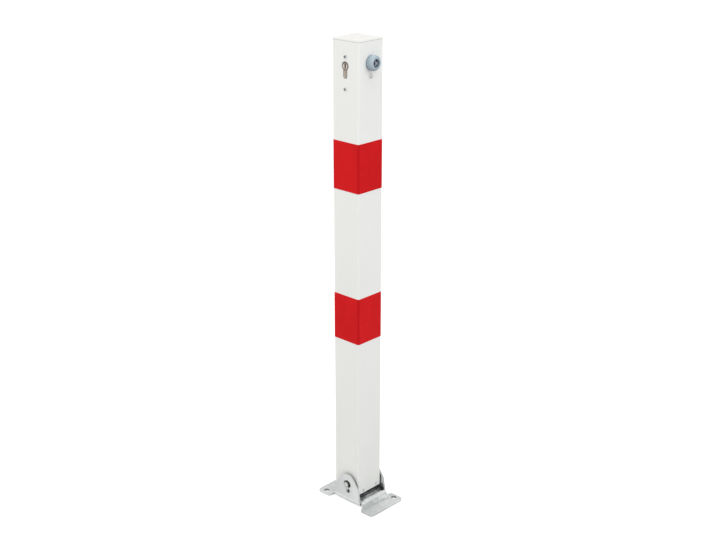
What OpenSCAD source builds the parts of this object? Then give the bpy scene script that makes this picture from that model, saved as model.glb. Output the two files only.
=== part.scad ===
// Fold-down parking post: a square steel tube on a folded base bracket.
// Millimetres. The origin is on the ground, under the hinge axis and midway between the ears.
// The post folds about Y, its top going toward +X. It is drawn upright and unlocked.

/* [Post] */
// Height of the post's top above the ground
post_top = 1000; // [700:10:1200]
// Outer width of the square tube
tube_w = 70; // [66:1:80]
// Wall of the tube
tube_t = 3; // [2.5:0.5:4]
// Outer radius of the tube's long edges
tube_r = 4; // [3:0.5:7]
// Distance from the hinge axis down to the tube's lower end
tube_drop = 21; // [20:0.5:23]
// Distance of the post's centre line behind the hinge axis
post_back = 9; // [7.5:0.5:12]
// Distance of the post's centre line from the bracket's middle, toward the far ear
post_side = 2; // [0.5:0.5:2]
// Thickness of the cap plate
cap_t = 2.5; // [2:0.5:4]
// Depth of the cap's rim inside the tube
cap_rim = 5; // [3:0.5:6]

/* [Reflective bands] */
// Height of a band
band_h = 100; // [60:5:120]
// Distance from the post's top to the upper band
band_top = 200; // [180:5:240]
// Distance between the two bands
band_gap = 223; // [150:1:260]
// Thickness of the reflective film
band_t = 0.4; // [0.2:0.1:0.8]

/* [Base bracket] */
// Thickness of the bracket's sheet
sheet_t = 4.5; // [4:0.5:5]
// Height of the web's underside above the ground
web_z = 5; // [3:0.5:8]
// Half length of the ears and of the channel between them
ear_half = 36.5; // [36:0.5:38]
// Radius of an ear's round top about the hinge axis
ear_r = 22.5; // [21:0.5:25]
// Radius of an ear's shoulders
shoulder_r = 8; // [5:0.5:10]
// Mean gap between the tube and an ear
side_gap = 2.5; // [2.5:0.25:4]
// Inner radius of the bend between web and ear
bend_r = 3.5; // [2.5:0.5:5]
// Half length of the flat middle of the web
web_flat = 19.5; // [18:0.5:19.5]
// Where a rib's flat top begins
rib_in = 28; // [28:0.5:30]
// Where a rib's flat top ends
rib_out = 36.5; // [36:0.5:38]
// Height of a rib's top above the ground
rib_z = 15.3; // [14.5:0.1:15.5]
// Where a ramp ends on the foot
ramp_end = 49.5; // [48:0.5:54]
// Where a foot's inner edge is
foot_in = 45; // [42:0.5:47]
// Where a foot's outer edge is
foot_out = 81; // [77:1:95]
// Half width of a foot
foot_half = 50.5; // [49.5:0.5:65]
// Radius of a foot's corners
foot_r = 8.5; // [4:0.5:9]
// Distance of the anchor holes from the middle, lengthwise
anchor_x = 64; // [62:0.5:66]
// Distance of the anchor holes from the middle, crosswise
anchor_y = 39; // [36:0.5:40]
// Diameter of an anchor hole
anchor_d = 12; // [9:0.5:14]
// Clearance between the folding tube and the sheet below it
sweep_gap = 3; // [1:0.1:4]

/* [Hinge] */
// Diameter of the axle
axle_d = 12; // [11:0.5:12.5]
// How far the axle stands out of the near ear
axle_out = 2.5; // [1:0.5:3]
// Diameter of the keyhole's round part
keyhole_d = 17; // [16.5:0.5:18]
// Width of the keyhole's neck
neck_w = 7.2; // [6.6:0.2:8]
// Diameter of the keyhole's foot
keyhole_foot_d = 12; // [11:0.5:12.5]
// Distance of the keyhole's foot below the hinge axis
keyhole_foot_z = 14.6; // [14:0.2:15]
// Width of the tail on the axle
tail_w = 3.9; // [3.5:0.1:4.5]
// Reach of the tail from the axis inside the post's wall
tail_r = 16; // [15:0.5:16]
// Outer diameter of the sleeve that runs on the axle
sleeve_d = 20; // [18:0.5:21]
// Clearance on the radius of the running fits
run_gap = 0.05; // [0.02:0.01:0.08]

/* [Lock] */
// Depth of the key cylinder's axis below the post's top
cyl_down = 50.5; // [48:0.5:56]
// Diameter of the key cylinder's round part
cyl_d = 17; // [16:0.5:18]
// Whole height of the key cylinder's section
cyl_h = 33; // [30:0.5:34]
// Width of the key cylinder's stem
cyl_stem = 10; // [9:0.5:11]
// Distance of the fixing screw below the cylinder's axis
cyl_screw_down = 20; // [19:0.5:21]
// Diameter of the key plug
plug_d = 13; // [11:0.5:13.5]
// Reach of the cam's nose from the plug's axis
cam_r = 15.3; // [14:0.1:15.5]
// Width of the cam's nose
cam_w = 7.5; // [6:0.5:8]
// Length of the cam along its axis
cam_len = 10; // [9:0.5:10.5]
// Diameter of the triangular key's cup
cup_d = 30; // [26:0.5:34]
// How far the cup stands out of the post
cup_out = 14.5; // [12:0.5:15]
// Depth of the cup's centre below the post's top
cup_down = 44; // [42:0.5:50]
// Diameter of the cup's recess
recess_d = 17; // [15:0.5:20]
// Depth of the cup's recess
recess_depth = 11; // [8:0.5:12]
// Distance across the corners of the triangular stud
stud_d = 11; // [9:0.5:11.5]
// Diameter of the spindle behind the stud
spindle_d = 8; // [6:0.5:8]
// Diameter of the lock rod
rod_d = 12; // [10:0.5:12]
// Module of the rack and its pinion
gear_m = 1; // [0.9:0.05:1.05]
// Teeth on the pinion
gear_teeth = 14; // [14:1:15]
// Width of the pinion along its axis
gear_w = 3.4; // [3:0.1:3.8]

/* [Hidden] */
$fn = 64;

// Clearance of parts that slide or pass by
slide_gap = 0.15;
eps = 0.01;

// The post and its walls
front = tube_w/2 - post_back;
post_x = -post_back;
tube_in = tube_w/2 - tube_t;
wall_x = front - tube_t;
// The folding tube's lower front edge passes above the web
web_top = web_z + sheet_t;
pivot_z = web_top + sweep_gap + norm([front, tube_drop]);
tube_z = pivot_z - tube_drop;
tube_top = post_top - cap_t;

// The base
ear_in = tube_w/2 + side_gap;
ear_out = ear_in + sheet_t;
bend_out = bend_r + sheet_t;
ear_z = web_z + bend_out;
slit_w = 5;
rib_half = ear_in - bend_r - slit_w;
relief_r = 4;
relief_x = ear_half - 5;
relief_y = rib_half + 1;
shoulder_x = ear_half - shoulder_r - 4;
shoulder_z = pivot_z - 10;

// The hinge
near_wall = -tube_w/2 + post_side;
keyhole_back = keyhole_d/2 - axle_d/2 - 0.03;
keyhole_lift = 12;
keyhole_x = keyhole_back*cos(keyhole_lift);
keyhole_z = pivot_z + keyhole_back*sin(keyhole_lift);
neck_x = -3.3;
foot_x = neck_x + keyhole_foot_d/2;
tail_gap = 0.1;
ring_groove = 1.2;
ring_t = 1.5;
axle_end = ear_out + 5;

// The lock rod and its travel, half a turn of the pinion
gear_r = gear_m*gear_teeth/2;
travel = PI*gear_r;
rod_x = -sleeve_d/2 - 2 - rod_d/2;
rod_top = post_top - 91;
bolt_hole_d = rod_d + 1;

// The key cylinder
cyl_z = post_top - cyl_down;
cyl_front = -tube_w/2 - 0.5;
cyl_end = 10;
screw_z = cyl_z - cyl_screw_down;
cam_cut_r = cam_r + 0.3;

// The triangular key's gear
cup_z = post_top - cup_down;
cam_reach = post_x + cam_r;
gear_x = cam_reach + 0.7;
barrel_d = 21;
barrel_x = gear_x + gear_w + 0.6;
seat_d = spindle_d - 2.5;
recess_x = front + cup_out - recess_depth;
rack_add = 0.75*gear_m;
rack_ded = 1.15*gear_m;
pinion_add = 0.9*gear_m;
pinion_ded = 1.0*gear_m;
backlash = 0.12;
pressure_angle = 20;

// The slider: a plate beside the cam, an angle leg and the rack on it
comb_y = 2.8;
comb_t = 2.5;
leg_t = 2.5;
leg_x = gear_x - 0.3 - leg_t;
comb_x = leg_x - 2.5;
rack_back = gear_r + 9;
slider_z = rod_top - 6;
slider_top = cup_z + travel + 8;
window_low = cyl_z - sqrt(pow(cam_cut_r, 2) - pow(comb_x - post_x, 2)) - 0.6;
window_high = cyl_z + cam_w/2 + 0.7;

// The case
case_t = 2.5;
case_y = -tube_in;
case_low = slider_z - travel - 12;
case_top = slider_top + case_t + 0.5;
case_screw_up = 17.5;
case_screw_down = 45.3;
case_screw_z = [cyl_z + case_screw_up, cyl_z - case_screw_down];
case_screw_d = 4;
guide_y = rack_back + 2.5;
rivet_y = 20;
rivet_d = 4;
rivet_z = tube_z + 6.5;

// Outline of the tube's section
module rounded_square(w, r) {
    square([w, w - 2*r], center = true);
    square([w - 2*r, w], center = true);
    for (i = [-1, 1], j = [-1, 1])
        translate([i*(w/2 - r), j*(w/2 - r)])
            circle(r);
}

// A cylinder along X from x0 to x1
module rod_along_x(d, x0, x1) {
    translate([x0, 0, 0])
        rotate([0, 90, 0])
            cylinder(d = d, h = x1 - x0);
}

// A cylinder along Y from y0 to y1
module rod_along_y(d, y0, y1) {
    translate([0, y1, 0])
        rotate([90, 0, 0])
            cylinder(d = d, h = y1 - y0);
}

// A box from its lowest to its highest corner
module block(a, b) {
    translate(a)
        cube(b - a);
}

// Height of the sheet's middle surface: web, rib, ramp and foot
function ease(u) = (1 - cos(180*u))/2;
rib_mid = rib_z - sheet_t/2;
web_mid = web_z + sheet_t/2;
foot_mid = sheet_t/2;
function sheet_z(x) =
    x <= web_flat ? web_mid :
    x < rib_in ? web_mid + (rib_mid - web_mid)*ease((x - web_flat)/(rib_in - web_flat)) :
    x <= rib_out ? rib_mid :
    x < ramp_end ? foot_mid + (rib_mid - foot_mid)*ease((ramp_end - x)/(ramp_end - rib_out)) :
    foot_mid;
function sheet_slope(x) = (sheet_z(x + eps) - sheet_z(x - eps))/(2*eps);
// A point on the sheet's upper (side 1) or lower (side -1) skin
function skin(x, side) =
    let (s = sheet_slope(x), k = side*sheet_t/2/norm([1, s]))
    [x - k*s, sheet_z(x) + k];
ramp_steps = 8;
sheet_x = concat(
    [for (i = [0:ramp_steps]) web_flat + (rib_in - web_flat)*i/ramp_steps],
    [for (i = [0:ramp_steps]) rib_out + (ramp_end - rib_out)*i/ramp_steps]);

// Long section of the sheet, from foot to foot
module long_section() {
    xs = concat(sheet_x, [ramp_end + 1]);
    right_top = [for (x = xs) skin(x, 1)];
    right_low = [for (x = xs) skin(x, -1)];
    n = len(xs) - 1;
    polygon(concat(
        right_top,
        [for (i = [n:-1:0]) right_low[i]],
        [for (i = [0:n]) [-right_low[i][0], right_low[i][1]]],
        [for (i = [n:-1:0]) [-right_top[i][0], right_top[i][1]]]));
}

// One foot's outline with its rounded corners
module foot() {
    long = foot_out - foot_in;
    translate([foot_in, -foot_half, 0])
        linear_extrude(sheet_t) {
            translate([foot_r, 0])
                square([long - 2*foot_r, 2*foot_half]);
            translate([0, foot_r])
                square([long, 2*foot_half - 2*foot_r]);
            for (i = [foot_r, long - foot_r], j = [foot_r, 2*foot_half - foot_r])
                translate([i, j])
                    circle(foot_r);
        }
}

// An ear's outline: a round top, two shoulders and the length of the bend
module ear_outline() {
    hull() {
        translate([0, pivot_z])
            circle(ear_r);
        for (i = [-1, 1])
            translate([i*shoulder_x, shoulder_z])
                circle(shoulder_r);
        translate([-ear_half, ear_z])
            square([2*ear_half, 1]);
    }
}

// The keyhole, less g all round: a round part, a neck and a smaller round foot
module keyhole_outline(g = 0) {
    translate([keyhole_x, keyhole_z])
        circle(d = keyhole_d - 2*g);
    translate([neck_x + g, pivot_z - keyhole_foot_z])
        square([neck_w - 2*g, keyhole_foot_z]);
    translate([foot_x, pivot_z - keyhole_foot_z])
        circle(d = keyhole_foot_d - 2*g);
}

// The quarter round that the axle's tail needs as the post folds, from y0 to y1
module tail_window(y0, y1) {
    intersection() {
        rod_along_y(2*tail_r + 0.8, y0, y1);
        block([neck_x, y0 - 1, -2*tail_r], [2*tail_r, y1 + 1, neck_x + tail_w + 2*tail_gap]);
    }
}

// The ear and its bend on the +Y side
module ear_side() {
    translate([0, ear_out, 0])
        rotate([90, 0, 0])
            linear_extrude(sheet_t)
                ear_outline();
    translate([-ear_half, 0, 0])
        rotate([90, 0, 90])
            linear_extrude(2*ear_half)
                translate([ear_in - bend_r, ear_z])
                    difference() {
                        circle(bend_out);
                        circle(bend_r);
                        translate([-bend_out - 1, -bend_out - 1])
                            square([bend_out + 1, 2*bend_out + 2]);
                        translate([-1, 0])
                            square([bend_out + 2, bend_out + 1]);
                    }
}

module base_bracket() {
    end_cut = ear_half + 1.5;
    color("gainsboro")
        difference() {
            union() {
                difference() {
                    translate([0, ear_in, 0])
                        rotate([90, 0, 0])
                            linear_extrude(2*ear_in)
                                long_section();
                    for (j = [0, 1])
                        mirror([0, j, 0])
                            block([-end_cut, ear_in - bend_r, 0], [end_cut, ear_out, ear_z + 5]);
                }
                for (s = [0, 1]) {
                    mirror([s, 0, 0])
                        foot();
                    mirror([0, s, 0])
                        ear_side();
                }
            }
            // Slits and relief holes that part the rib from the bends
            for (i = [-1, 1], j = [-1, 1]) {
                translate([i*relief_x, j*relief_y, 0])
                    cylinder(r = relief_r, h = 2*ear_z);
                translate([i*(web_flat + end_cut + 1)/2, j*(rib_half + slit_w/2), ear_z])
                    cube([end_cut + 1 - web_flat, slit_w, 2*ear_z], center = true);
            }
            // One anchor hole in each foot, in opposite corners
            for (i = [-1, 1])
                translate([i*anchor_x, i*anchor_y, -1])
                    cylinder(d = anchor_d, h = sheet_t + 2);
            // The rod's hole in the web
            translate([rod_x, post_side, 0])
                cylinder(d = bolt_hole_d, h = rib_z + 1);
            // The keyhole in the near ear, and the axle's hole in the far one
            translate([0, -ear_in + 1, 0])
                rotate([90, 0, 0])
                    linear_extrude(sheet_t + 2)
                        keyhole_outline();
            translate([0, 0, pivot_z])
                rod_along_y(axle_d + 2*run_gap, ear_in - 1, ear_out + 1);
        }
}

module pivot_axle() {
    face_in = 1;
    wide_low = pivot_z - 11.8;
    color("silver") {
        translate([0, 0, pivot_z])
            difference() {
                rod_along_y(axle_d, -ear_out - axle_out, axle_end);
                difference() {
                    rod_along_y(axle_d + 1, ear_out + 0.3, ear_out + 0.3 + ring_t);
                    rod_along_y(axle_d - 2*ring_groove, ear_out, ear_out + 1 + ring_t);
                }
            }
        // The tail: it fills the keyhole's neck and stops the post at both ends of its fold
        translate([0, -ear_in, 0])
            rotate([90, 0, 0])
                linear_extrude(sheet_t - face_in)
                    intersection() {
                        keyhole_outline(tail_gap);
                        union() {
                            translate([neck_x + tail_gap, 0])
                                square([tail_w, pivot_z]);
                            translate([neck_x + tail_gap, wide_low])
                                square([neck_w - 2*tail_gap, pivot_z - wide_low]);
                        }
                    }
        block([neck_x + tail_gap, -ear_in - 0.5, pivot_z - tail_r],
              [neck_x + tail_gap + tail_w, near_wall + tube_t - 0.5, pivot_z]);
    }
}

module axle_ring() {
    color("dimgray")
        translate([0, ear_out + 0.35, pivot_z])
            rotate([-90, 0, 0])
                difference() {
                    cylinder(d = axle_d + 5, h = ring_t - 0.1);
                    translate([0, 0, -1])
                        cylinder(d = axle_d - 2*ring_groove + 0.1, h = ring_t + 2);
                    translate([-2, -axle_d, -1])
                        cube([4, axle_d, ring_t + 2]);
                }
}

// The key cylinder's section about its axis, grown by g
module cylinder_outline(g = 0) {
    circle(d = cyl_d + 2*g);
    stem_low = cyl_h - cyl_d/2 - cyl_stem/2;
    translate([-cyl_stem/2 - g, -stem_low])
        square([cyl_stem + 2*g, stem_low]);
    translate([0, -stem_low])
        circle(d = cyl_stem + 2*g);
}

module post_tube() {
    color("white")
        translate([0, post_side, 0])
            difference() {
                translate([post_x, 0, tube_z])
                    linear_extrude(tube_top - tube_z)
                        difference() {
                            rounded_square(tube_w, tube_r);
                            rounded_square(tube_w - 2*tube_t, max(tube_r - tube_t, 0.5));
                        }
                // Holes for the hinge sleeve, and the axle tail's window and slot in the near wall
                translate([0, 0, pivot_z]) {
                    rod_along_y(sleeve_d + 0.1, -tube_w, tube_w);
                    tail_window(-tube_w, -tube_in + 1);
                }
                block([neck_x - 1, -tube_w, tube_z - 1],
                      [foot_x + keyhole_foot_d/2 + 1, -tube_in + 1, pivot_z - 1]);
                // Opening for the key cylinder and holes for the case screws
                translate([post_x, -tube_in + 1, cyl_z])
                    rotate([90, 0, 0])
                        linear_extrude(tube_t + 2)
                            cylinder_outline(0.3);
                for (z = case_screw_z)
                    translate([post_x, 0, z])
                        rod_along_y(case_screw_d + 0.1, -tube_w, -tube_in + 1);
                // Holes for the cup, the cylinder's screw and the rivets
                translate([0, 0, cup_z])
                    rod_along_x(barrel_d + 0.1, wall_x - 1, front + 1);
                translate([0, 0, screw_z])
                    rod_along_x(5.3, wall_x - 1, front + 1);
                for (y = [-rivet_y, rivet_y])
                    translate([0, y, rivet_z])
                        rod_along_x(rivet_d + 0.1, wall_x - 1, front + 1);
            }
}

module top_cap() {
    color("white")
        translate([0, post_side, 0])
            translate([post_x, 0, tube_top]) {
                linear_extrude(cap_t)
                    rounded_square(tube_w, tube_r);
                translate([0, 0, -cap_rim])
                    linear_extrude(cap_rim)
                        difference() {
                            rounded_square(2*tube_in - 0.2, max(tube_r - tube_t, 0.5));
                            rounded_square(2*tube_in - 4.2, 0.5);
                        }
            }
}

// A film wrapped round the tube, its upper edge at z
module band(z) {
    color("red")
        translate([0, post_side, 0])
            translate([post_x, 0, z - band_h])
                linear_extrude(band_h)
                    difference() {
                        rounded_square(tube_w + 2*band_t, tube_r + band_t);
                        rounded_square(tube_w, tube_r);
                    }
}

module reflective_band_upper() {
    band(post_top - band_top);
}

module reflective_band_lower() {
    band(post_top - band_top - band_h - band_gap);
}

module hinge_sleeve() {
    color("dimgray")
        translate([0, post_side, 0])
            translate([0, 0, pivot_z])
                difference() {
                    rod_along_y(sleeve_d, 0.3 - ear_in - post_side, tube_w/2 - 0.5);
                    rod_along_y(axle_d + 2*run_gap, -tube_w, tube_w);
                    tail_window(-tube_w, -tube_in - 0.2);
                }
}

// The plate that guides the rod at the tube's lower end, with a flange on the front wall
module rod_guide() {
    guide_t = 2.5;
    low = tube_z + 0.8;
    color("silver")
        translate([0, post_side, 0])
            difference() {
                union() {
                    block([post_x - tube_in + 0.1, -tube_in + 0.8, low],
                          [wall_x, tube_in - 0.8, low + guide_t]);
                    block([wall_x - guide_t, -tube_in + 4, low],
                          [wall_x, tube_in - 4, rivet_z + 6]);
                }
                translate([rod_x, 0, tube_z])
                    cylinder(d = rod_d + 2*slide_gap, h = guide_t + 2);
                for (y = [-rivet_y, rivet_y])
                    translate([0, y, rivet_z])
                        rod_along_x(rivet_d + 0.1, wall_x - guide_t - 1, wall_x + 1);
            }
}

module guide_rivets() {
    dome_r = 5.9;
    dome_back = 4.9;
    color("silver")
        translate([0, post_side, 0])
            for (y = [-rivet_y, rivet_y])
                translate([0, y, rivet_z]) {
                    rod_along_x(rivet_d, wall_x - 4.5, front + eps);
                    // Domed head outside, set tail inside
                    translate([front, 0, 0])
                        rotate([0, 90, 0])
                            rotate_extrude()
                                intersection() {
                                    translate([0, -dome_back])
                                        circle(dome_r);
                                    square([4, 2]);
                                }
                    rod_along_x(rivet_d + 2, wall_x - 4.5, wall_x - 2.5);
                }
}

module rod_guide_middle() {
    guide_h = 12;
    guide_floor = 3;
    color("dimgray")
        translate([0, post_side, 0])
            translate([post_x, 0, (tube_z + rod_top)/2])
                difference() {
                    linear_extrude(guide_h)
                        rounded_square(2*tube_in - 0.2, 2);
                    for (i = [0, 1], j = [-1, 1])
                        translate([i*(tube_in/2 + 1), j*tube_in/2, guide_floor])
                            linear_extrude(guide_h)
                                rounded_square(0.4*tube_in, 2);
                    translate([rod_x - post_x, 0, -1])
                        cylinder(d = rod_d + 2*slide_gap, h = guide_h + 2);
                }
}

// The case: wall plate, a tab for the rod, a top tab and the channel behind the rack
module lock_case() {
    plate_low = case_low;
    channel_out = guide_y + case_t;
    color("silver")
        translate([0, post_side, 0])
            difference() {
                union() {
                    block([rod_x - 9, case_y, plate_low], [gear_x + 6, case_y + case_t, case_top]);
                    block([rod_x - 9, case_y, plate_low], [rod_x + 9, 9, plate_low + case_t]);
                    block([rod_x - 9, case_y, case_top - case_t], [gear_x + 6, channel_out, case_top]);
                    block([leg_x - 2.5, rack_back - 2, screw_z], [gear_x + 6, channel_out, case_top]);
                }
                // The channel in which the rack's back slides
                block([leg_x - slide_gap, rack_back - 3, screw_z - 1],
                      [gear_x + gear_w + 0.3 + slide_gap, guide_y, case_top - case_t]);
                translate([rod_x, 0, plate_low - 1])
                    cylinder(d = rod_d + 2*slide_gap, h = case_t + 2);
                translate([post_x, case_y + case_t + 1, cyl_z])
                    rotate([90, 0, 0])
                        linear_extrude(case_t + 2)
                            cylinder_outline(0.3);
                for (z = case_screw_z)
                    translate([post_x, 0, z])
                        rod_along_y(case_screw_d + 0.1, case_y - 1, case_y + case_t + 1);
            }
}

module case_screws() {
    head_y = -tube_w/2;
    head_h = 1.5;
    socket_h = 1.2;
    color("silver")
        translate([0, post_side, 0])
            for (z = case_screw_z)
                translate([post_x, 0, z])
                    difference() {
                        union() {
                            rod_along_y(case_screw_d, head_y - eps, case_y + case_t + 3);
                            rod_along_y(7.5, head_y - head_h, head_y);
                        }
                        translate([0, head_y - head_h + socket_h, 0])
                            rotate([90, 0, 0])
                                cylinder(d = 4.4, h = 3, $fn = 6);
                    }
}

// A bowed leaf between the channel and the rack's back, which keeps the rod where it is put
module brake_spring() {
    leaf_t = 0.4;
    rise = guide_y - rack_back - leaf_t - 0.1;
    half = 16;
    bow_r = (half*half + rise*rise)/(2*rise);
    color("lightsteelblue")
        translate([0, post_side, 0])
            translate([leg_x + 0.6, rack_back + 0.05, cup_z + 2])
                rotate([90, 0, 90])
                    linear_extrude(gear_w + 1.6)
                        intersection() {
                            translate([bow_r + leaf_t, 0])
                                difference() {
                                    circle(bow_r + leaf_t, $fn = 200);
                                    circle(bow_r, $fn = 200);
                                }
                            translate([0, -half])
                                square([rise + leaf_t, 2*half]);
                        }
}

module cylinder_body() {
    color("tan")
        translate([0, post_side, 0])
            translate([post_x, 0, cyl_z])
                difference() {
                    translate([0, cyl_end, 0])
                        rotate([90, 0, 0])
                            linear_extrude(cyl_end - cyl_front)
                                cylinder_outline();
                    rod_along_y(plug_d + 2*run_gap, cyl_front - 1, cyl_end + 1);
                    rod_along_y(2*cam_cut_r, -cam_len/2 - 0.2, cam_len/2 + 0.2);
                    translate([0, 0, -cyl_screw_down])
                        rod_along_x(5, -cyl_stem, cyl_stem);
                }
}

module cylinder_screw() {
    color("gray")
        translate([0, post_side, 0])
            translate([0, 0, screw_z])
                difference() {
                    union() {
                        rod_along_x(5, post_x - cyl_stem/2, front + eps);
                        rod_along_x(8.5, front, front + 1.2);
                    }
                    block([front + 0.6, -5, -0.6], [front + 2, 5, 0.6]);
                }
}

module cylinder_plug() {
    funnel = 2.6;
    color("darkkhaki")
        translate([0, post_side, 0])
            translate([post_x, 0, cyl_z])
                difference() {
                    rod_along_y(plug_d, cyl_front, cyl_end);
                    // Keyway
                    block([-1.2, cyl_front - 1, -plug_d/2 + 0.8], [1.2, cyl_front + 26, 2.5]);
                    block([-1.2, cyl_front - 1, -1], [2.2, cyl_front + 26, 0.4]);
                    // Funnel that leads the key in
                    translate([0, cyl_front, 0])
                        rotate([0, 0, 45])
                            cube([funnel, funnel, plug_d - 2*funnel], center = true);
                }
}

module cylinder_cam() {
    color("dimgray")
        translate([0, post_side, 0])
            translate([post_x, 0, cyl_z])
                difference() {
                    intersection() {
                        union() {
                            rod_along_y(cyl_d, -cam_len/2, cam_len/2);
                            block([-cam_w/2, -cam_len/2, -cam_r], [cam_w/2, cam_len/2, 0]);
                        }
                        rod_along_y(2*cam_r, -cam_len, cam_len);
                    }
                    rod_along_y(plug_d, -cam_len, cam_len);
                }
}

// The round cup that guards the triangular stud, with its barrel through the wall
module key_cup() {
    dome = 5;
    out = cup_d/2;
    color("lightslategray")
        translate([0, post_side, 0])
            translate([0, 0, cup_z])
                rotate([0, 90, 0])
                    rotate_extrude($fn = 96)
                        difference() {
                            union() {
                                translate([0, front])
                                    square([out - dome, cup_out]);
                                translate([0, front])
                                    square([out, cup_out - dome]);
                                translate([out - dome, front + cup_out - dome])
                                    circle(dome);
                                translate([0, barrel_x])
                                    square([barrel_d/2, front - barrel_x + 1]);
                            }
                            translate([-1, barrel_x - 1])
                                square([1 + spindle_d/2 + run_gap, 60]);
                            translate([-1, recess_x])
                                square([1 + recess_d/2, recess_depth + 1]);
                            translate([-60, barrel_x])
                                square([60, 60]);
                        }
}

module cup_nut() {
    color("silver")
        translate([0, post_side, 0])
            translate([0, 0, cup_z])
                difference() {
                    rotate([0, 90, 0])
                        translate([0, 0, wall_x - 4])
                            cylinder(d = barrel_d + 8, h = 4, $fn = 6);
                    rod_along_x(barrel_d, wall_x - 5, wall_x + 1);
                }
}

// The triangular stud: three flats on a round bar
module triangle_spindle() {
    tip_x = front + cup_out - 1.5;
    color("silver")
        translate([0, post_side, 0])
            translate([0, 0, cup_z]) {
                rod_along_x(spindle_d, barrel_x - 0.4, recess_x + 0.5);
                intersection() {
                    rod_along_x(stud_d, recess_x + 0.3, tip_x);
                    translate([recess_x + 0.3, 0, 0])
                        rotate([90, 0, 90])
                            cylinder(r = 0.62*stud_d, h = tip_x - recess_x, $fn = 3);
                }
                rod_along_x(seat_d, gear_x, barrel_x);
            }
}

// Polar half angle of a pinion tooth at radius r
base_r = gear_r*cos(pressure_angle);
function involute(a) = tan(a)*180/PI - a;
tooth_half = (PI*gear_m/2 - backlash)/2/gear_r*180/PI;
function tooth_angle(r) =
    tooth_half + involute(pressure_angle) - (r > base_r ? involute(acos(base_r/r)) : 0);
function polar(r, a) = [r*cos(a), r*sin(a)];
gear_root = gear_r - pinion_ded;
gear_tip = gear_r + pinion_add;
flank = [gear_root, for (i = [0:4]) base_r + (gear_tip - base_r)*i/4];

module pinion() {
    color("goldenrod")
        translate([0, post_side, 0])
            translate([gear_x, 0, cup_z])
                rotate([90, 0, 90])
                    linear_extrude(gear_w)
                        difference() {
                            polygon([for (k = [0:gear_teeth - 1])
                                let (a = 360*k/gear_teeth)
                                each concat(
                                    [for (r = flank) polar(r, a - tooth_angle(r))],
                                    [for (i = [len(flank) - 1:-1:0])
                                        polar(flank[i], a + tooth_angle(flank[i]))])]);
                            circle(d = seat_d);
                        }
}

// The slider with its rack, and the windows that let the cam's nose in
module rack_slider() {
    pitch = PI*gear_m;
    lift = tan(pressure_angle);
    half = (pitch/2 - backlash)/2;
    first = -2;
    last = floor((slider_top - cup_z - 2)/pitch - 0.5);
    root_y = gear_r + rack_ded;
    color("slategray")
        translate([0, post_side, 0])
            difference() {
                union() {
                    block([comb_x, comb_y, slider_z], [leg_x + leg_t, comb_y + comb_t, slider_top - 6]);
                    block([leg_x, comb_y, slider_z], [leg_x + leg_t, rack_back, slider_top]);
                    block([leg_x, root_y, cup_z - 8], [gear_x + gear_w + 0.3, rack_back, slider_top]);
                    for (k = [first:last])
                        translate([gear_x - 0.3 - eps, 0, cup_z + (k + 0.5)*pitch])
                            rotate([90, 0, 90])
                                linear_extrude(gear_w + 0.6)
                                    polygon([
                                        [root_y + 1, -half - rack_ded*lift],
                                        [root_y, -half - rack_ded*lift],
                                        [gear_r - rack_add, -half + rack_add*lift],
                                        [gear_r - rack_add, half - rack_add*lift],
                                        [root_y, half + rack_ded*lift],
                                        [root_y + 1, half + rack_ded*lift]]);
                    // Foot that reaches back to the rod
                    block([rod_x - 8, -8, slider_z], [rod_x + 8, 8, slider_z + 10]);
                    block([rod_x, comb_y, slider_z], [leg_x + leg_t, 10, slider_z + 10]);
                }
                for (dz = [0, travel])
                    block([comb_x - 1, comb_y - 1, window_low + dz],
                          [leg_x + leg_t + 1, cam_len/2 + 0.6, window_high + dz]);
                translate([rod_x, 0, slider_z - 1])
                    cylinder(d = rod_d, h = 12);
                translate([rod_x, 0, slider_z + 5])
                    rod_along_y(4, -9, 9);
            }
}

module lock_rod() {
    tip = 2;
    color("silver")
        translate([0, post_side, 0])
            difference() {
                translate([rod_x, 0, 0])
                    rotate_extrude()
                        polygon([
                            [0, tube_z], [rod_d/2 - tip, tube_z], [rod_d/2, tube_z + tip],
                            [rod_d/2, slider_z + 10], [0, slider_z + 10]]);
                translate([rod_x, 0, slider_z + 5])
                    rod_along_y(4, -9, 9);
            }
}

module rod_pin() {
    color("gray")
        translate([0, post_side, 0])
            translate([rod_x, 0, slider_z + 5])
                difference() {
                    rod_along_y(4, -8, 8);
                    rod_along_y(2.4, -9, 9);
                }
}

base_bracket();
pivot_axle();
axle_ring();
post_tube();
top_cap();
reflective_band_upper();
reflective_band_lower();
hinge_sleeve();
rod_guide();
guide_rivets();
rod_guide_middle();
lock_case();
case_screws();
brake_spring();
cylinder_body();
cylinder_screw();
key_cup();
cup_nut();
cylinder_plug();
cylinder_cam();
triangle_spindle();
pinion();
rack_slider();
lock_rod();
rod_pin();
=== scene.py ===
"""Looks of a fold-down parking post: its coatings, films and plated parts, and a pale studio."""

import math

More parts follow.
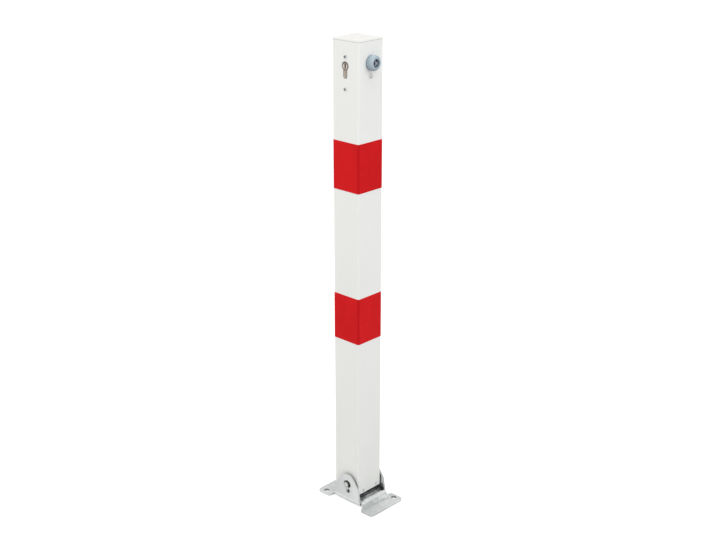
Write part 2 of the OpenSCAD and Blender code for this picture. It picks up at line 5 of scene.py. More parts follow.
import bpy
import numpy as np
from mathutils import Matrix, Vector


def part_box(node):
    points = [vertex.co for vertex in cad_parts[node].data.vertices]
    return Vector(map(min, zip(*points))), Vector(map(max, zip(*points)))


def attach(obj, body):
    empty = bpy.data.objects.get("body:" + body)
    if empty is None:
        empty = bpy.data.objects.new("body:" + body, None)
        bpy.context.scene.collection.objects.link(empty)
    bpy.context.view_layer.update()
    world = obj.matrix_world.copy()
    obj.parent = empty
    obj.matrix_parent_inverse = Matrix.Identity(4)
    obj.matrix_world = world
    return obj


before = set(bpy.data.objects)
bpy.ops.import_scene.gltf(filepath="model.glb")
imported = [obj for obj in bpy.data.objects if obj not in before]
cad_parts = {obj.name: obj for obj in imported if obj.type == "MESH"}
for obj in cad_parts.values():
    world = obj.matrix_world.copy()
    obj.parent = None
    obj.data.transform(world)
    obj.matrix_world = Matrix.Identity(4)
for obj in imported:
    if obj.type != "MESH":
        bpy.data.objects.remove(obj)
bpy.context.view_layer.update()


# ---------------------------------------------------------------- measures, in metres
def middle(node):
    """The middle of a node's box."""
    low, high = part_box(node)
    return [(a + b) / 2 for a, b in zip(low, high)]


MM = 0.001

# The post, its cap, and the cup that guards the stud
TUBE_LOW, TUBE_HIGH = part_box("post_tube")
POST_X, POST_Y, _ = middle("post_tube")
HALF_TUBE = (TUBE_HIGH.x - TUBE_LOW.x) / 2
CAP_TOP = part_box("top_cap")[1].z
CUP_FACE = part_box("key_cup")[1].x
STUD_Z = middle("triangle_spindle")[2]

# The key cylinder's plug, and the case screws above and below it
PLUG_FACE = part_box("cylinder_plug")[0].y
PLUG_Z = middle("cylinder_plug")[2]
SCREW_HEAD = 3.75 * MM
SCREWS_LOW, SCREWS_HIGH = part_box("case_screws")
SCREW_FACE = SCREWS_LOW.y
SCREW_LEVELS = (SCREWS_LOW.z + SCREW_HEAD, SCREWS_HIGH.z - SCREW_HEAD)

# The bracket, with distances from its middle: the ears' inner and outer faces, the bend
# where a ramp meets its foot, and the anchor holes
SHEET = 4.5 * MM
EAR_IN = 37.5 * MM
EAR_OUT = EAR_IN + SHEET
RAMP_FOOT = 50 * MM
ANCHOR_X, ANCHOR_Y, ANCHOR_RADIUS = 64 * MM, 39 * MM, 6 * MM
AXLE_Z = middle("axle_ring")[2]

# The lap where a reflective film ends over its own start, on the post's rear face
LAP_Y = POST_Y + 6 * MM
LAP_HALF_WIDTH, LAP_THICKNESS, LAP_SUNK = 9 * MM, 0.18 * MM, 0.1 * MM
LAP_POINTS, LAP_POWER = 33, 8

# The studio: the floor's half side, grey and glow, and the world's strength as light and as seen
FLOOR_HALF, FLOOR_GREY, FLOOR_GLOW = 20.0, 0.72, 0.62
WORLD_LIGHT, WORLD_SEEN = 0.6, 1.0

# The photograph's viewpoint, with angles in degrees and the lens in millimetres
CAMERA_PLACE = (1.63861, -1.74077, 1.41645)
CAMERA_DOWN, CAMERA_TURN = 20.415, 43.381
CAMERA_LENS, CAMERA_SENSOR = 62.76, 36


def screen(red, green, blue):
    """A colour written as 0 to 255 on a screen, turned into linear light."""
    shares = np.array([red, green, blue]) / 255
    linear = np.where(shares <= 0.04045, shares / 12.92, ((shares + 0.055) / 1.055) ** 2.4)
    return (*linear.tolist(), 1.0)


# ---------------------------------------------------------------- shader nodes
class Nodes:
    """One tree of shader nodes, and the sums that masks are made of."""

    def __init__(self, tree):
        self.tree = tree
        tree.nodes.clear()

    def add(self, kind):
        return self.tree.nodes.new(kind)

    def link(self, out, into):
        self.tree.links.new(out, into)

    def feed(self, socket, value):
        """Links a node's output, or writes a plain number or colour."""
        if isinstance(value, bpy.types.NodeSocket):
            self.link(value, socket)
        else:
            socket.default_value = value

    def sums(self, operation, a, b=0.0):
        node = self.add("ShaderNodeMath")
        node.operation = operation
        self.feed(node.inputs[0], a)
        self.feed(node.inputs[1], b)
        return node.outputs["Value"]

    def share(self, value, low, high, at_low=0.0, at_high=1.0, smooth=True):
        """Where value lies between low and high, as a number from at_low to at_high."""
        node = self.add("ShaderNodeMapRange")
        node.interpolation_type = "SMOOTHSTEP" if smooth else "LINEAR"
        self.feed(node.inputs["Value"], value)
        node.inputs["From Min"].default_value = low
        node.inputs["From Max"].default_value = high
        node.inputs["To Min"].default_value = at_low
        node.inputs["To Max"].default_value = at_high
        return node.outputs["Result"]

    def rises(self, value, low, high):
        """0 where value is below low, 1 where it is above high."""
        return self.share(value, low, high, 0.0, 1.0)

    def falls(self, value, low, high):
        """1 where value is below low, 0 where it is above high."""
        return self.share(value, low, high, 1.0, 0.0)

    def both(self, *masks):
        """The product of several masks or numbers."""
        product = masks[0]
        for mask in masks[1:]:
            product = self.sums("MULTIPLY", product, mask)
        return product

    def round_about(self, a, b):
        """The length of the vector whose two parts are a and b."""
        squares = self.sums("MULTIPLY", a, a), self.sums("MULTIPLY", b, b)
        return self.sums("SQRT", self.sums("ADD", *squares))


class Finish(Nodes):
    """One finish: a Principled shader, and the patterns on Object coordinates that feed it."""

    def __init__(self, name, colour, metallic=0.0, roughness=0.5):
        self.material = bpy.data.materials.new(name)
        self.material.use_nodes = True
        self.material.diffuse_color = colour
        super().__init__(self.material.node_tree)
        self.shader = self.add("ShaderNodeBsdfPrincipled")
        self.set(Base_Color=colour, Metallic=metallic, Roughness=roughness)
        output = self.add("ShaderNodeOutputMaterial")
        self.link(self.shader.outputs["BSDF"], output.inputs["Surface"])
        self.place = self.add("ShaderNodeTexCoord").outputs["Object"]
        self.bumped = None

    def set(self, **values):
        """Plain values of the shader's own sockets, with _ for a space."""
        for name, value in values.items():
            self.shader.inputs[name.replace("_", " ")].default_value = value

    def stretched(self, scale):
        """Object coordinates, longer or shorter along each axis."""
        node = self.add("ShaderNodeMapping")
        node.inputs["Scale"].default_value = scale
        self.link(self.place, node.inputs["Vector"])
        return node.outputs["Vector"]

    def cloud(self, per_metre, detail=3.0, rough=0.55, stretch=None, warp=0.0):
        """Soft noise from 0 to 1."""
        node = self.add("ShaderNodeTexNoise")
        node.inputs["Scale"].default_value = per_metre
        node.inputs["Detail"].default_value = detail
        node.inputs["Roughness"].default_value = rough
        node.inputs["Distortion"].default_value = warp
        self.link(self.stretched(stretch) if stretch else self.place, node.inputs["Vector"])
        return node.outputs["Fac"]

    def cells(self, per_metre, output="Distance"):
        """Cell pattern: the distance to the nearest centre, or a colour for each cell."""
        node = self.add("ShaderNodeTexVoronoi")
        node.inputs["Scale"].default_value = per_metre
        self.link(self.place, node.inputs["Vector"])
        return node.outputs[output]

    def axis(self, name):
        """One coordinate of the point, in metres."""
        node = self.add("ShaderNodeSeparateXYZ")
        self.link(self.place, node.inputs["Vector"])
        return node.outputs[name]

    def past(self, name, start):
        """How far the point lies past start along one axis, negative before it."""
        return self.sums("SUBTRACT", self.axis(name), start)

    def away(self, name, centre=0.0):
        """Distance from centre along one axis."""
        return self.sums("ABSOLUTE", self.past(name, centre))

    def tube_corner(self, start, full):
        """0 on the post's faces, 1 on its rounded long edges.

        start and full are distances from the post's middle, taken along X or Y, whichever is less.
        """
        nearer = self.sums("MINIMUM", self.away("X", POST_X), self.away("Y", POST_Y))
        return self.rises(nearer, start, full)

    def mixed(self, share, a, b):
        """A colour between a and b."""
        node = self.add("ShaderNodeMix")
        node.data_type = "RGBA"
        self.feed(node.inputs[0], share)
        self.feed(node.inputs[6], a)
        self.feed(node.inputs[7], b)
        return node.outputs[2]

    def over(self, base, colour, *masks):
        """base, with colour laid over it as far as the product of the masks says."""
        return self.mixed(self.both(*masks), base, colour)

    def colour(self, value):
        self.feed(self.shader.inputs["Base Color"], value)

    def roughness(self, value):
        self.feed(self.shader.inputs["Roughness"], value)

    def relief(self, height, depth, strength):
        """Lifts the surface by height times depth, on top of any relief given before."""
        node = self.add("ShaderNodeBump")
        node.inputs["Strength"].default_value = strength
        node.inputs["Distance"].default_value = depth
        self.link(height, node.inputs["Height"])
        if self.bumped is not None:
            self.link(self.bumped, node.inputs["Normal"])
        self.bumped = node.outputs["Normal"]
        self.link(self.bumped, self.shader.inputs["Normal"])


# ---------------------------------------------------------------- coat and film on the post
def white_powder_coat():
    """White powder coat: faint orange peel, clouding, rubbed streaks, dust, a painted highlight on
    the long edges and painted shade low down.
    """
    coat = Finish("white powder coat", screen(240, 240, 238), roughness=0.5)
    clouding = coat.rises(coat.cloud(5, detail=2, stretch=(1, 1, 0.3)), 0.35, 0.65)
    base = coat.mixed(clouding, screen(237, 238, 235), screen(242, 242, 241))
    rubbed = coat.rises(coat.cloud(60, detail=5, rough=0.7, stretch=(1, 1, 0.12)), 0.6, 0.72)
    base = coat.over(base, screen(227, 228, 227), rubbed, 0.3)
    specks = coat.falls(coat.cells(170), 0.05, 0.09)
    in_places = coat.rises(coat.cloud(40), 0.58, 0.62)
    base = coat.over(base, screen(196, 194, 186), specks, in_places, 0.45)
    # A painted highlight along the long rounded edges
    edge = coat.tube_corner(HALF_TUBE - 4.5 * MM, HALF_TUBE - 2 * MM)
    base = coat.over(base, screen(249, 249, 249), edge, 0.45)
    # Fine dust on the cap's top face
    height = coat.axis("Z")
    on_cap = coat.rises(height, CAP_TOP - 0.3 * MM, CAP_TOP - 0.1 * MM)
    uneven = coat.share(coat.cloud(35, detail=4, rough=0.65), 0.3, 0.7, 0.7, 1.0)
    settled = coat.both(on_cap, uneven)
    base = coat.over(base, screen(217, 216, 213), settled)
    # Painted shade that lightens evenly with height, and dust patches low on the post
    painted_low_shade = coat.share(height, 0.0, 0.95, 0.36, 0.0, smooth=False)
    base = coat.over(base, screen(222, 224, 219), painted_low_shade)
    low_down = coat.falls(height, 0.03, 0.3)
    patches = coat.rises(coat.cloud(45, detail=4, rough=0.65), 0.35, 0.75)
    base = coat.over(base, screen(218, 219, 212), low_down, patches, 0.25)
    # The thin shadowed joint under the cap
    joint = coat.falls(coat.away("Z", TUBE_HIGH.z), 0.1 * MM, 0.45 * MM)
    coat.colour(coat.over(base, screen(120, 118, 112), joint, 0.75))
    # Satin, and matt where the dust has settled
    satin = coat.share(coat.cloud(25), 0.3, 0.7, 0.46, 0.58)
    coat.roughness(coat.sums("MAXIMUM", satin, coat.both(settled, 0.9)))
    coat.relief(coat.cloud(520, detail=2, rough=0.4), 0.03 * MM, 0.5)
    coat.set(Specular_IOR_Level=0.35)
    return coat.material


def red_reflective_film():
    """Red reflective film: glass-bead grain under a matt face, a shade darker where it bends."""
    film = Finish("red reflective film", screen(210, 20, 26), roughness=0.6)
    clouding = film.rises(film.cloud(14, stretch=(1, 1, 0.5)), 0.35, 0.65)
    base = film.mixed(clouding, screen(201, 9, 16), screen(210, 14, 21))
    beads = film.cells(2600)
    base = film.over(base, screen(232, 60, 60), film.share(beads, 0.1, 0.5, 0.0, 0.05))
    rubbed = film.rises(film.cloud(70, detail=5, rough=0.7, stretch=(1, 1, 0.2)), 0.62, 0.74)
    base = film.over(base, screen(196, 30, 36), rubbed, 0.25)
    bend = film.tube_corner(HALF_TUBE - 3.5 * MM, HALF_TUBE - 1.5 * MM)
    film.colour(film.over(base, screen(168, 14, 20), bend, 0.5))
    film.roughness(film.share(film.cloud(90, detail=4), 0.3, 0.7, 0.52, 0.66))
    film.relief(beads, 0.02 * MM, 0.3)
    film.set(Specular_IOR_Level=0.1)
    return film.material


# ---------------------------------------------------------------- zinc on the bracket
def zinc_crystals(zinc, bloom):
    """Bare zinc: crystal patches, cloudy bloom, pale clouds, and fine scratches along X."""
    patches = zinc.both(zinc.rises(zinc.cells(150, output="Color"), 0.2, 0.8), 0.6)
    base = zinc.mixed(patches, screen(226, 228, 227), screen(212, 216, 216))
    base = zinc.over(base, screen(200, 206, 205), zinc.share(bloom, 0.5, 0.68, 0.0, 0.5))
    pale = zinc.cloud(70, detail=5, rough=0.6)
    base = zinc.over(base, screen(238, 240, 239), zinc.share(pale, 0.56, 0.7, 0.0, 0.7))
    scratches = zinc.rises(zinc.cloud(420, rough=0.7, stretch=(0.08, 1, 1)), 0.6, 0.7)
    return zinc.over(base, screen(244, 245, 245), scratches, 0.3)


def front_foot_shade_and_dull_patch(zinc, base):
    """Painted shade, broken up, where the front ramp meets its foot, and a dull patch at the foot's
    near end.
    """
    # Painted shade in the crease where the ramp meets the foot, broken up by noise
    low_down = zinc.falls(zinc.axis("Z"), 9 * MM, 12 * MM)
    bend = zinc.falls(zinc.away("X", RAMP_FOOT), 3 * MM, 12 * MM)
    patchy_shade = zinc.rises(zinc.cloud(55, detail=5, rough=0.7), 0.38, 0.62)
    base = zinc.over(base, screen(160, 164, 163), bend, low_down, patchy_shade, 0.75)
    foot = zinc.rises(zinc.axis("X"), 40 * MM, 48 * MM)
    near_end = zinc.falls(zinc.axis("Y"), -34 * MM, 16 * MM)
    dull = zinc.share(zinc.cloud(48, detail=5, rough=0.65), 0.3, 0.65, 0.55, 1.0)
    return zinc.over(base, screen(182, 186, 185), low_down, foot, near_end, dull, 0.7)


def between_ears(zinc):
    """1 from the bracket's middle out to the inner faces of its ears."""
    return zinc.falls(zinc.away("Y"), EAR_IN + 0.2 * MM, EAR_IN + 0.4 * MM)


def shade_in_channel(zinc, base):
    """Painted shade in the channel that the folding post sweeps and in the notches beside it,
    broken up like a stain over the ribs.
    """
    across, along, up = zinc.away("Y"), zinc.away("X"), zinc.axis("Z")
    inside = between_ears(zinc)
    # Painted shade over the ribs under the post, broken up like a stain
    ribs = zinc.both(inside, zinc.falls(along, 35 * MM, 38.5 * MM),
                     zinc.falls(up, 16 * MM, 17 * MM))
    stain_and_shade = zinc.share(zinc.cloud(90, detail=5, rough=0.65), 0.36, 0.6, 0.3, 0.95)
    base = zinc.over(base, screen(92, 95, 98), ribs, stain_and_shade)
    # Painted shade on the web under the post, dark along its middle and faint beside it
    web = zinc.both(inside, zinc.share(along, 4 * MM, 9 * MM, 1.0, 0.1),
                    zinc.falls(along, 22 * MM, 26 * MM), zinc.falls(up, 13.5 * MM, 19 * MM))
    base = zinc.over(base, screen(36, 37, 37), web, 0.93)
    # Painted shade in the relief notches beside the ears
    notches = zinc.both(inside, zinc.rises(across, 28.5 * MM, 31 * MM),
                        zinc.rises(along, 24 * MM, 27 * MM), zinc.falls(along, 37 * MM, 39 * MM),
                        zinc.falls(up, 17 * MM, 18 * MM))
    return zinc.over(base, screen(62, 64, 62), notches, 0.8)


def shade_and_wear_on_ears(zinc, base):
    """Painted shade low on the ears' inner faces and in the axle's keyhole, greyer cut edges and
    dull outer faces.
    """
    across, along, up = zinc.away("Y"), zinc.away("X"), zinc.axis("Z")
    above_ribs = zinc.rises(up, 13 * MM, 15 * MM)
    # Painted shade, mottled, low down on the inner faces and beside the post
    inner_face = zinc.both(between_ears(zinc), above_ribs,
                           zinc.rises(across, EAR_IN - 3 * MM, EAR_IN - 0.5 * MM))
    shade_reach = zinc.sums("MAXIMUM", zinc.falls(up, 22 * MM, 32 * MM),
                        zinc.falls(along, 27 * MM, 29 * MM))
    shade_mottle = zinc.share(zinc.cloud(75, detail=4), 0.3, 0.55, 0.7, 1.0)
    base = zinc.over(base, screen(56, 60, 57), inner_face, shade_reach, shade_mottle, 0.88)
    # The cut edges, greyer on the far ear
    cut_edge = zinc.both(zinc.rises(across, EAR_IN + 0.4 * MM, EAR_IN + 0.9 * MM),
                         zinc.falls(across, EAR_OUT - 0.9 * MM, EAR_OUT - 0.4 * MM), above_ribs)
    far_ear = zinc.share(zinc.axis("Y"), -1 * MM, 1 * MM, 0.5, 0.95)
    base = zinc.over(base, screen(172, 174, 174), cut_edge, far_ear)
    # A dull bloom over the outer faces, weaker toward the front
    outer_face = zinc.both(zinc.rises(across, EAR_OUT - 0.3 * MM, EAR_OUT - 0.1 * MM), above_ribs,
                           zinc.share(zinc.axis("X"), -25 * MM, 25 * MM, 1.0, 0.5))
    base = zinc.over(base, screen(194, 197, 196), outer_face, 0.85)
    # Painted shade on the wall of the axle's keyhole
    keyhole = zinc.round_about(along, zinc.past("Z", AXLE_Z))
    wall = zinc.both(zinc.falls(keyhole, 8.6 * MM, 9.3 * MM),
                     zinc.rises(across, EAR_IN + 0.4 * MM, EAR_IN + 0.8 * MM))
    return zinc.over(base, screen(66, 68, 62), wall, 0.85)


def shade_near_ground(zinc, base):
    """Painted shade along the bracket's lower edges and on the walls of its two anchor holes."""
    across, along, up = zinc.away("Y"), zinc.away("X"), zinc.axis("Z")
    # Painted shade along the lower edges, stronger toward the front
    lower_edge = zinc.falls(up, 1.2 * MM, 4.3 * MM)
    toward_front = zinc.share(zinc.axis("X"), -20 * MM, 40 * MM, 0.2, 0.7)
    base = zinc.over(base, screen(158, 161, 160), lower_edge, toward_front)
    # The holes lie in the two corners where X times Y is above zero
    hole = zinc.round_about(zinc.sums("SUBTRACT", along, ANCHOR_X),
                            zinc.sums("SUBTRACT", across, ANCHOR_Y))
    corners = zinc.rises(zinc.both(zinc.axis("X"), zinc.axis("Y")), 0.0, (10 * MM) ** 2)
    wall = zinc.both(zinc.falls(hole, ANCHOR_RADIUS + 0.05 * MM, ANCHOR_RADIUS + 0.25 * MM),
                     zinc.falls(up, SHEET - 0.4 * MM, SHEET - 0.05 * MM), corners)
    return zinc.over(base, screen(118, 120, 118), wall, 0.7)


def galvanised_sheet():
    """Zinc-dipped sheet: crystals, bloom and scratches, with the bracket's wear and painted shade
    in its creases, channel, keyhole and lower edges.
    """
    zinc = Finish("galvanised sheet", screen(222, 225, 224), metallic=0.35, roughness=0.5)
    bloom = zinc.cloud(38, detail=6, rough=0.68, warp=0.6)
    base = zinc_crystals(zinc, bloom)
    for layer in (front_foot_shade_and_dull_patch, shade_in_channel, shade_and_wear_on_ears, shade_near_ground):
        base = layer(zinc, base)
    zinc.colour(base)
    zinc.roughness(zinc.share(bloom, 0.3, 0.7, 0.42, 0.62))
    zinc.relief(zinc.cloud(260, detail=5, rough=0.6), 0.08 * MM, 0.5)
    zinc.relief(zinc.cells(150), 0.05 * MM, 0.3)
    return zinc.material


# ---------------------------------------------------------------- small parts
def zinc_plated_bar():
    """Zinc plating on turned parts: turning rings, dull patches, painted shade in the screw sockets
    and a darker ring on the axle's ends.
    """
    plated = Finish("zinc plated bar", screen(198, 200, 198), metallic=0.75, roughness=0.36)
    dull = plated.cloud(160, detail=5, rough=0.65)
    base = plated.mixed(plated.rises(dull, 0.45, 0.7), screen(204, 206, 204), screen(164, 166, 164))
    # Painted shade inside the hexagon sockets of the case screws
    inside = plated.rises(plated.axis("Y"), SCREW_FACE + 0.05 * MM, SCREW_FACE + 0.3 * MM)
    for level in SCREW_LEVELS:
        radius = plated.round_about(plated.past("X", POST_X), plated.past("Z", level))
        socket = plated.falls(radius, 2.15 * MM, 2.35 * MM)
        base = plated.over(base, screen(58, 58, 60), socket, inside, 0.9)
    # A darker ring round the axle's end faces
    radius = plated.round_about(plated.axis("X"), plated.past("Z", AXLE_Z))
    dark_ring = plated.both(plated.share(radius, 3.2 * MM, 5.8 * MM, 0.35, 1.0),
                          plated.falls(radius, 8 * MM, 9 * MM))
    plated.colour(plated.over(base, screen(112, 114, 108), dark_ring, 0.8))
    plated.roughness(plated.share(dull, 0.3, 0.7, 0.28, 0.46))
    plated.relief(plated.cloud(900, detail=2, stretch=(1, 0.15, 0.15)), 0.02 * MM, 0.4)
    return plated.material


def spring_steel():
    """Blued spring steel with rubbed bright spots."""
    spring = Finish("blued spring steel", screen(120, 124, 132), metallic=0.9, roughness=0.36)
    rubbed = spring.cloud(300, detail=4, rough=0.6)
    bright = spring.rises(rubbed, 0.44, 0.64)
    spring.colour(spring.mixed(bright, screen(116, 122, 134), screen(182, 186, 190)))
    spring.roughness(spring.share(rubbed, 0.3, 0.7, 0.45, 0.28))
    spring.relief(rubbed, 0.02 * MM, 0.4)
    return spring.material


def oiled_dark_steel():
    """Dark oiled steel: brown-black with dull and shiny patches."""
    steel = Finish("oiled dark steel", screen(74, 72, 70), metallic=0.8, roughness=0.42)
    oil = steel.cloud(120, detail=5, rough=0.65)
    steel.colour(steel.mixed(steel.rises(oil, 0.42, 0.66), screen(84, 82, 80), screen(52, 48, 45)))
    steel.roughness(steel.share(oil, 0.35, 0.65, 0.5, 0.3))
    steel.relief(steel.cloud(500), 0.03 * MM, 0.5)
    return steel.material


def matt_nickel(name, bright, tarnished, rubbed):
    """Matt nickel on brass: satin grain drawn lengthwise and tarnish, with painted shade round and
    over the plug and in its keyway.
    """
    nickel = Finish(name, bright, metallic=0.7, roughness=0.42)
    tarnish = nickel.cloud(190, detail=5, rough=0.65)
    base = nickel.mixed(nickel.rises(tarnish, 0.42, 0.66), bright, tarnished)
    grain = nickel.cloud(1100, detail=2, stretch=(1, 1, 0.08))
    base = nickel.over(base, rubbed, nickel.share(grain, 0.55, 0.7, 0.0, 0.35))
    # Painted shade in a ring round the plug, and over its top
    across, height = nickel.away("X", POST_X), nickel.away("Z", PLUG_Z)
    radius = nickel.round_about(across, height)
    ring = nickel.both(nickel.rises(radius, 5.9 * MM, 6.6 * MM),
                       nickel.falls(radius, 8.6 * MM, 9.6 * MM))
    base = nickel.over(base, screen(104, 92, 84), ring, 0.75)
    top = nickel.both(nickel.rises(nickel.axis("Z"), PLUG_Z + 1.5 * MM, PLUG_Z + 4 * MM),
                      nickel.falls(radius, 8.4 * MM, 9 * MM))
    base = nickel.over(base, screen(88, 80, 74), top, 0.6)
    # Painted shade inside the keyway and its funnel
    keyway = nickel.both(nickel.falls(across, 1.7 * MM, 1.9 * MM),
                         nickel.falls(height, 5.6 * MM, 5.9 * MM),
                         nickel.rises(nickel.axis("Y"), PLUG_FACE + 0.1 * MM, PLUG_FACE + 0.5 * MM))
    nickel.colour(nickel.over(base, screen(40, 36, 34), keyway, 0.85))
    nickel.roughness(nickel.share(tarnish, 0.3, 0.7, 0.32, 0.48))
    nickel.relief(grain, 0.02 * MM, 0.4)
    return nickel.material


def blue_grey_casting():
    """Blue-grey coated die casting: soft clouding and fine pits, with painted shade low on the cup,
    deep in its recess and where it meets the post.
    """
    cast = Finish("blue-grey casting", screen(160, 176, 187), metallic=0.1, roughness=0.46)
    broad = cast.cloud(70, detail=4, rough=0.6)
    base = cast.mixed(cast.rises(broad, 0.38, 0.64), screen(156, 173, 184), screen(172, 187, 197))
    pits = cast.falls(cast.cells(750), 0.08, 0.16)
    base = cast.over(base, screen(108, 122, 134), pits, 0.3)
    # Painted shade low on the cup
    up = cast.past("Z", STUD_Z)
    radius = cast.round_about(up, cast.past("Y", POST_Y))
    under = cast.both(cast.falls(up, -15 * MM, -2 * MM), cast.rises(radius, 9.5 * MM, 12 * MM))
    base = cast.over(base, screen(124, 130, 141), under, 0.85)
    # Painted shade deep in the recess round the stud
    recess = cast.both(cast.falls(radius, 8.6 * MM, 8.8 * MM),
                       cast.share(up, -5 * MM, 4 * MM, 0.15, 1.0),
                       cast.share(cast.axis("Y"), POST_Y + 1 * MM, POST_Y + 7 * MM, 1.0, 0.4),
                       cast.falls(cast.axis("X"), CUP_FACE - 9 * MM, CUP_FACE - 3 * MM))
    base = cast.over(base, screen(56, 64, 76), recess, 0.75)
    # Painted shade where the cup meets the post
    seam = cast.falls(cast.axis("X"), TUBE_HIGH.x + 0.5 * MM, TUBE_HIGH.x + 4 * MM)
    cast.colour(cast.over(base, screen(112, 124, 138), seam, 0.7))
    cast.roughness(cast.share(broad, 0.3, 0.7, 0.4, 0.55))
    cast.relief(cast.cloud(600), 0.04 * MM, 0.5)
    cast.set(Coat_Weight=0.2, Coat_Roughness=0.3)
    return cast.material


def moulded_black():
    """Moulded black plastic with a fine spark texture."""
    plastic = Finish("moulded black plastic", screen(38, 39, 41), roughness=0.55)
    grain = plastic.cloud(1300, rough=0.6)
    pale = plastic.rises(grain, 0.4, 0.7)
    plastic.colour(plastic.mixed(pale, screen(34, 35, 37), screen(52, 53, 55)))
    plastic.roughness(plastic.share(plastic.cloud(60), 0.3, 0.7, 0.48, 0.62))
    plastic.relief(grain, 0.03 * MM, 0.6)
    return plastic.material


coat = white_powder_coat()
red_film = red_reflective_film()
galvanised = galvanised_sheet()
plated = zinc_plated_bar()
blued = spring_steel()
dark_steel = oiled_dark_steel()
nickel = matt_nickel("matt nickel on brass", bright=screen(168, 157, 146),
                     tarnished=screen(138, 126, 115), rubbed=screen(192, 183, 171))
bright_nickel = matt_nickel("bright nickel plug", bright=screen(196, 188, 178),
                            tarnished=screen(168, 158, 148), rubbed=screen(214, 208, 198))
casting = blue_grey_casting()
black_plastic = moulded_black()

FINISH_OF = {
    "base_bracket": galvanised,
    "pivot_axle": plated,
    "axle_ring": blued,
    "post_tube": coat,
    "top_cap": coat,
    "reflective_band_upper": red_film,
    "reflective_band_lower": red_film,
    "hinge_sleeve": dark_steel,
    "rod_guide": galvanised,
    "guide_rivets": plated,
    "rod_guide_middle": black_plastic,
    "lock_case": galvanised,
    "case_screws": plated,
    "brake_spring": blued,
    "cylinder_body": nickel,
    "cylinder_screw": plated,
    "key_cup": casting,
    "cup_nut": plated,
    "cylinder_plug": bright_nickel,
    "cylinder_cam": dark_steel,
    "triangle_spindle": blued,
    "pinion": dark_steel,
    "rack_slider": plated,
    "lock_rod": plated,
    "rod_pin": blued,
}
for name, finish in FINISH_OF.items():
    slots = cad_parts[name].data.materials
    if not slots:
        slots.append(finish)
    for index in range(len(slots)):
        slots[index] = finish


# ---------------------------------------------------------------- surfaces worked out with numpy
def film_overlap(name, low, high):
    """The end of the film where it laps over its own start, down the post's rear face.

    Across the strip, the height follows a flat top that eases to nothing at both sides:
    the thickness times one minus the eighth power of the distance from the middle.
    That outline, closed by a line just inside the film, is carried from the film's lower
    edge to its upper edge, and shrinks to a point at both ends, which closes the strip.
    """
    across = np.linspace(-1, 1, LAP_POINTS)
    x = low.x - LAP_THICKNESS * (1 - across ** LAP_POWER)
    y = LAP_HALF_WIDTH * across + LAP_Y
    sunk = np.full_like(y, low.x + LAP_SUNK)
    outline = np.stack([np.concatenate([x, sunk]), np.concatenate([y, y[::-1]])], 1)
    levels = np.array([low.z, low.z, high.z, high.z])
    swell = np.array([0.0, 1.0, 1.0, 0.0])
    centre = np.array([low.x, LAP_Y])
    flat = centre + (outline[None] - centre) * swell[:, None, None]
    rows, columns = flat.shape[:2]
    upright = np.broadcast_to(levels[:, None, None], (rows, columns, 1))
    points = np.concatenate([flat, upright], 2).reshape(-1, 3)
    # A quad from each point to the next level and the next point round the outline
    row, column = (index.ravel() for index in np.mgrid[:rows - 1, :columns])
    after = (column + 1) % columns
    faces = np.stack([row * columns + column, (row + 1) * columns + column,
                      (row + 1) * columns + after, row * columns + after], 1)
    mesh = bpy.data.meshes.new(name)
    mesh.from_pydata(points.tolist(), [], faces.tolist())
    mesh.update()
    mesh.polygons.foreach_set("use_smooth", np.full(len(mesh.polygons), True))
    mesh.materials.append(red_film)
    piece = bpy.data.objects.new(name, mesh)
    bpy.context.scene.collection.objects.link(piece)
    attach(piece, "post")


film_overlap("film_overlap_upper", *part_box("reflective_band_upper"))
film_overlap("film_overlap_lower", *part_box("reflective_band_lower"))


# ---------------------------------------------------------------- studio
def studio_floor():
    """Pale floor: white to the camera and in reflections, with a painted soft grey shadow under the
    bracket.
    """
    mesh = bpy.data.meshes.new("studio floor")
    quarters = (-1, -1), (1, -1), (1, 1), (-1, 1)
    corners = [(x * FLOOR_HALF, y * FLOOR_HALF, 0) for x, y in quarters]
    mesh.from_pydata(corners, [], [(0, 1, 2, 3)])
    floor = bpy.data.objects.new("studio_floor", mesh)
    bpy.context.scene.collection.objects.link(floor)
    paint = Finish("studio floor", (FLOOR_GREY, FLOOR_GREY, FLOOR_GREY, 1.0), roughness=1.0)
    paint.set(Specular_IOR_Level=0.0, Emission_Color=(1.0, 1.0, 1.0, 1.0))
    rays = paint.add("ShaderNodeLightPath")
    seen = paint.sums("MAXIMUM", rays.outputs["Is Camera Ray"], rays.outputs["Is Glossy Ray"])
    # Painted shadow: less glow under the feet and under the channel between the ears
    along, across = paint.away("X"), paint.away("Y")
    under_feet = paint.both(paint.rises(along, 48 * MM, 52 * MM),
                            paint.falls(along, 75 * MM, 79 * MM),
                            paint.falls(across, 45 * MM, 49 * MM), 0.55)
    under_web = paint.both(paint.falls(along, 40 * MM, 46 * MM),
                           paint.falls(across, 31 * MM, 37 * MM), 0.5)
    open_floor = paint.sums("SUBTRACT", 1.0, paint.sums("MAXIMUM", under_feet, under_web))
    glow = paint.both(seen, open_floor, FLOOR_GLOW)
    paint.feed(paint.shader.inputs["Emission Strength"], glow)
    mesh.materials.append(paint.material)


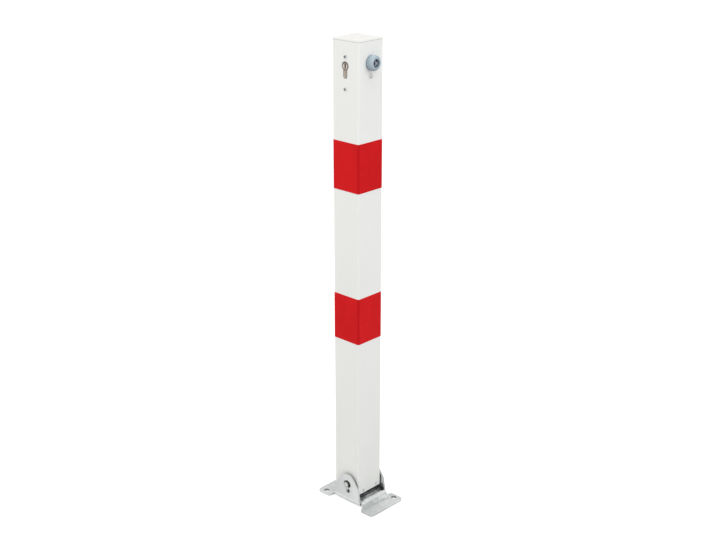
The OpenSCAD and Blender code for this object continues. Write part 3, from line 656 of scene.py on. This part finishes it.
def studio_world():
    """Even pale light from all round, plain white where the camera sees it, also through glass."""
    world = bpy.data.worlds.new("studio")
    bpy.context.scene.world = world
    world.use_nodes = True
    nodes = Nodes(world.node_tree)
    rays = nodes.add("ShaderNodeLightPath")
    seen = nodes.sums("MAXIMUM", rays.outputs["Is Camera Ray"], rays.outputs["Is Transmission Ray"])
    sky = nodes.add("ShaderNodeBackground")
    sky.inputs["Color"].default_value = (1, 1, 1, 1)
    strength = nodes.share(seen, 0.0, 1.0, WORLD_LIGHT, WORLD_SEEN, smooth=False)
    nodes.link(strength, sky.inputs["Strength"])
    output = nodes.add("ShaderNodeOutputWorld")
    nodes.link(sky.outputs["Background"], output.inputs["Surface"])


def softbox(name, place, aim, size, power, colour=(1, 1, 1)):
    """A square lamp that faces the point aim, with its side in metres and its power in watts."""
    lamp = bpy.data.lights.new(name, "AREA")
    lamp.size = size
    lamp.energy = power
    lamp.color = colour
    holder = bpy.data.objects.new(name, lamp)
    holder.location = place
    way = np.array(aim) - np.array(place)
    flat = math.hypot(way[0], way[1])
    holder.rotation_euler = (math.atan2(flat, -way[2]), 0, math.atan2(-way[0], way[1]))
    bpy.context.scene.collection.objects.link(holder)


def photo_camera():
    """The photograph's viewpoint: 20.4 degrees down, turned 43.4 degrees to the post's right."""
    lens = bpy.data.cameras.new("photo camera")
    lens.sensor_fit = "HORIZONTAL"
    lens.sensor_width = CAMERA_SENSOR
    lens.lens = CAMERA_LENS
    lens.clip_end = 100
    camera = bpy.data.objects.new("photo_camera", lens)
    camera.location = CAMERA_PLACE
    camera.rotation_euler = (math.radians(90 - CAMERA_DOWN), 0, math.radians(CAMERA_TURN))
    bpy.context.scene.collection.objects.link(camera)
    bpy.context.scene.camera = camera


studio_floor()
studio_world()
softbox("overhead softbox", place=(0.2, -0.3, 3.0), aim=(0, 0, 0.6), size=2.2, power=24)
softbox("left softbox", place=(-1.4, -2.2, 2.3), aim=(0, 0, 0.9), size=2.6, power=33,
        colour=(1.0, 0.985, 0.955))
softbox("right softbox", place=(2.4, 0.2, 2.3), aim=(0, 0, 0.9), size=2.6, power=30,
        colour=(0.985, 0.985, 1.0))
photo_camera()
bpy.context.scene.view_settings.view_transform = "Standard"
